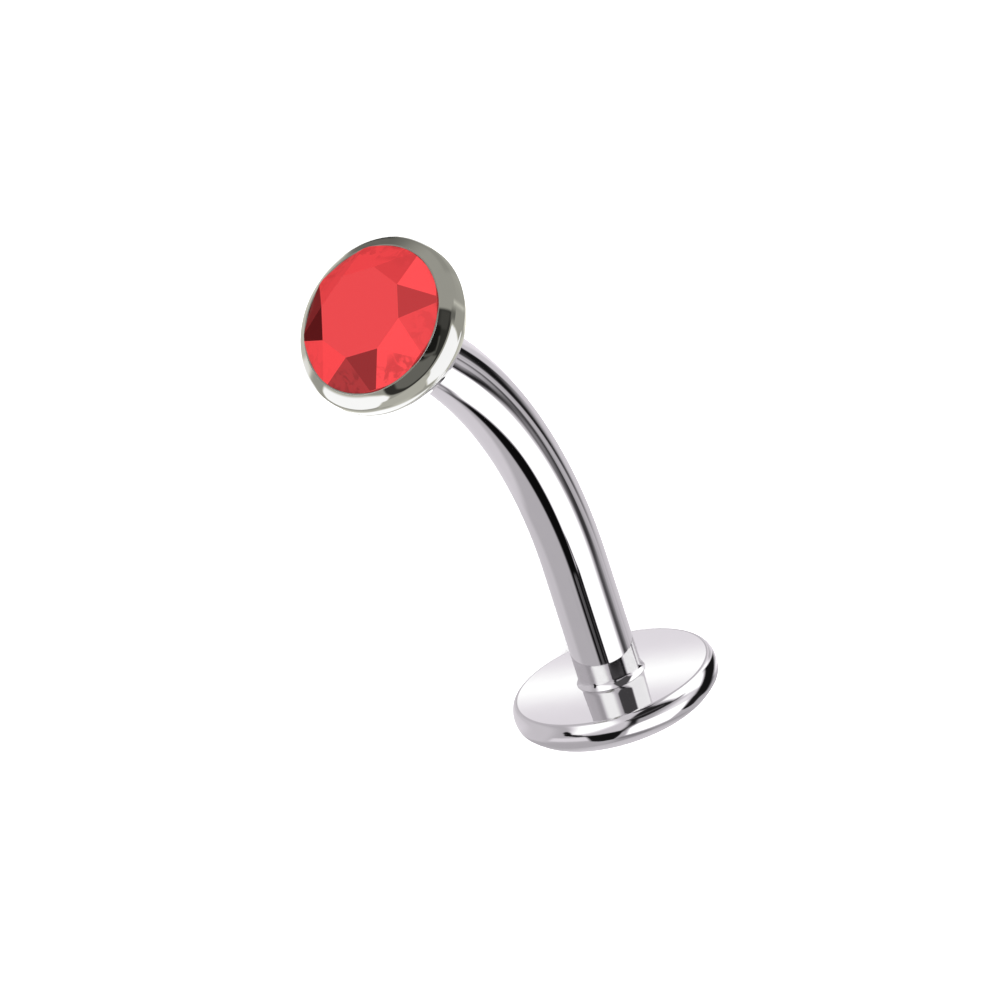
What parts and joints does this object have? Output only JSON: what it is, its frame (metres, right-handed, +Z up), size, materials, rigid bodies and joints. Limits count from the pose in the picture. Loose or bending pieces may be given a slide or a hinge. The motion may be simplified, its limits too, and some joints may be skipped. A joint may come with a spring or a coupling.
{
  "type": "floating belly button ring",
  "caption": "Curved barbell for a navel piercing, a flat round disc on one end and a bezel cup with a faceted red stone on the other, lying on its side.",
  "frame": {"origin": "middle of the underside of the bounding box, on the surface that the ring lies on", "axes": "+X along the ring from the cup toward the disc, +Z up from the surface"},
  "size_m": [0.016, 0.0052, 0.005],
  "materials": {
    "bar_steel": "mirror polished surgical steel",
    "disc_steel": "mirror polished surgical steel",
    "cup_steel": "polished steel, a little warmer than the bar",
    "red_stone": "polished facets over a foil back"
  },
  "bodies": {
    "ring": {"curved_bar": "bar_steel", "base_disc": "disc_steel"},
    "gem_end": {"gem_cup": "cup_steel", "gem_stone": "red_stone"}
  },
  "joints": [
    {"name": "gem_unscrews", "type": "slide", "parent": "ring", "child": "gem_end", "axis": [-0.9331, -0.1805, 0.3111], "range_m": [0, 0.003]}
  ]
}
